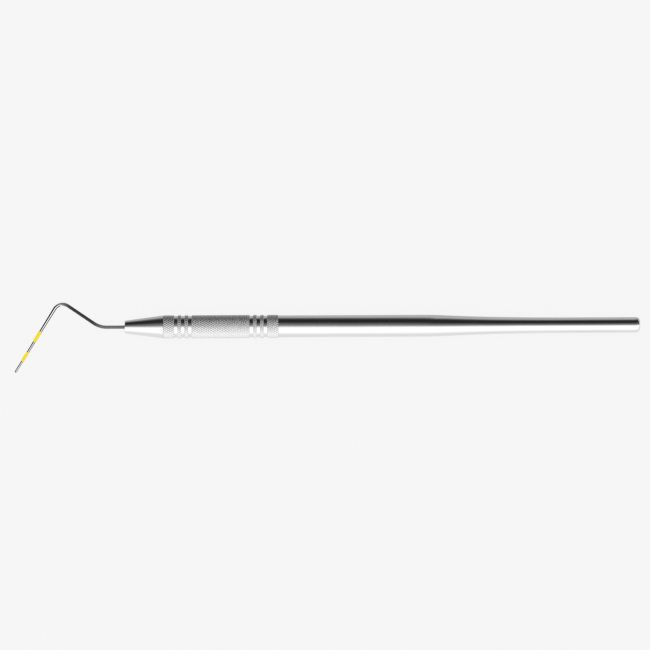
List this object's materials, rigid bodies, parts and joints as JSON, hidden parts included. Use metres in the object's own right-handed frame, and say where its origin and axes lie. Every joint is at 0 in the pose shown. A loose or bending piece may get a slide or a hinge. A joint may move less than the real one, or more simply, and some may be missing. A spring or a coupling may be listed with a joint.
{
  "type": "colour-coded periodontal probe",
  "caption": "Single-ended dental probe: knurled and grooved hollow steel handle with a tapered tail, and a bent wire end marked with yellow depth bands.",
  "frame": {"origin": "centre of the flat tail face, on the handle's axis", "axes": "+X along the handle's axis out of the tail face, so the working end points to -X; the wire is bent in the XY plane, with its shoulder towards +Y and its tip towards -Y; +Z is square to that plane, and up when the probe lies on its side"},
  "size_m": [0.1564, 0.0175, 0.0058],
  "materials": {
    "polished_steel": "mirror-polished stainless steel",
    "knurled_steel": "fine diamond knurl, polished over",
    "wire_steel": "satin-ground hardened stainless wire",
    "plain_steel": "as turned, hidden inside the handle",
    "yellow_enamel": "glossy baked yellow enamel"
  },
  "bodies": {
    "root": {"nose_cone": "polished_steel", "grip_tube": "knurled_steel", "shaft_tube": "polished_steel", "joining_core": "plain_steel", "tail_plug": "polished_steel", "tang_ferrule": "plain_steel", "probe_wire": "wire_steel", "lower_yellow_mark": "yellow_enamel", "upper_yellow_mark": "yellow_enamel"}
  },
  "joints": []
}
